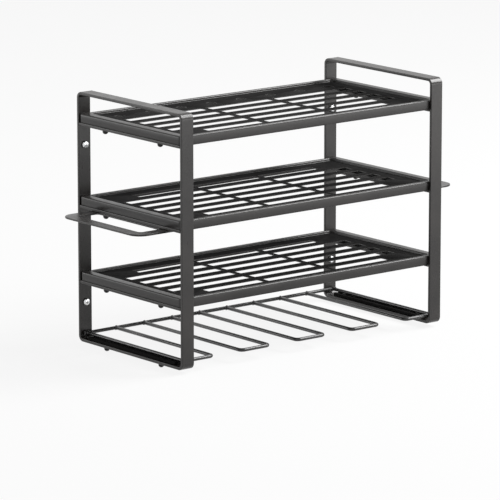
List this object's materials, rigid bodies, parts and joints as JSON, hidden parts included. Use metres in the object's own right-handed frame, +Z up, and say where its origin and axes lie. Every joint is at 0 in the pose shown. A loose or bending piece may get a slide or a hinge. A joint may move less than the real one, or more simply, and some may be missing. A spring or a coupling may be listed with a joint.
{
  "type": "wall mounted power tool organizer",
  "caption": "Black steel wall rack with slotted shelf trays between two strip loops, a rod rack below for hanging drills, and a flat side loop at each end for hammers and pliers.",
  "frame": {"origin": "on the wall plane behind the rear uprights, at the middle of the width and level with the underside of the side frames", "axes": "+X to the right seen from the front, +Y into the wall, +Z up"},
  "size_m": [0.564, 0.24, 0.3543],
  "materials": {
    "frame_coat": "satin black powder coat, fine orange peel",
    "shelf_coat": "satin black powder coat on pressed sheet",
    "rod_coat": "satin black powder coat on round rod",
    "black_screw": "black oxide, semi gloss",
    "zinc_nut": "zinc plated",
    "bright_screw": "bright zinc plated"
  },
  "bodies": {
    "root": {"left_side_frame": "frame_coat", "right_side_frame": "frame_coat", "hammer_rack": "frame_coat", "pliers_rack": "frame_coat", "top_left_crossbar": "frame_coat", "top_right_crossbar": "frame_coat", "middle_left_crossbar": "frame_coat", "middle_right_crossbar": "frame_coat", "lower_left_crossbar": "frame_coat", "lower_right_crossbar": "frame_coat", "top_shelf": "shelf_coat", "middle_shelf": "shelf_coat", "lower_shelf": "shelf_coat", "drill_loop_1": "rod_coat", "drill_loop_2": "rod_coat", "drill_loop_3": "rod_coat", "drill_loop_4": "rod_coat", "drill_loop_5": "rod_coat", "drill_rack_rear_rod": "rod_coat", "drill_rack_left_strip": "rod_coat", "drill_rack_right_strip": "rod_coat", "top_shelf_screw_left_front": "black_screw", "top_shelf_screw_left_rear": "black_screw", "top_shelf_screw_right_front": "black_screw", "top_shelf_screw_right_rear": "black_screw", "middle_shelf_screw_left_front": "black_screw", "middle_shelf_screw_left_rear": "black_screw", "middle_shelf_screw_right_front": "black_screw", "middle_shelf_screw_right_rear": "black_screw", "lower_shelf_screw_left_front": "black_screw", "lower_shelf_screw_left_rear": "black_screw", "lower_shelf_screw_right_front": "black_screw", "lower_shelf_screw_right_rear": "black_screw", "drill_rack_screw_left_front": "black_screw", "drill_rack_screw_left_rear": "black_screw", "drill_rack_screw_right_front": "black_screw", "drill_rack_screw_right_rear": "black_screw", "top_shelf_nut_left_front": "zinc_nut", "top_shelf_nut_left_rear": "zinc_nut", "top_shelf_nut_right_front": "zinc_nut", "top_shelf_nut_right_rear": "zinc_nut", "middle_shelf_nut_left_front": "zinc_nut", "middle_shelf_nut_left_rear": "zinc_nut", "middle_shelf_nut_right_front": "zinc_nut", "middle_shelf_nut_right_rear": "zinc_nut", "lower_shelf_nut_left_front": "zinc_nut", "lower_shelf_nut_left_rear": "zinc_nut", "lower_shelf_nut_right_front": "zinc_nut", "lower_shelf_nut_right_rear": "zinc_nut", "wall_screw_left_upper": "bright_screw", "wall_screw_left_lower": "bright_screw", "wall_screw_right_upper": "bright_screw", "wall_screw_right_lower": "bright_screw"}
  },
  "joints": []
}
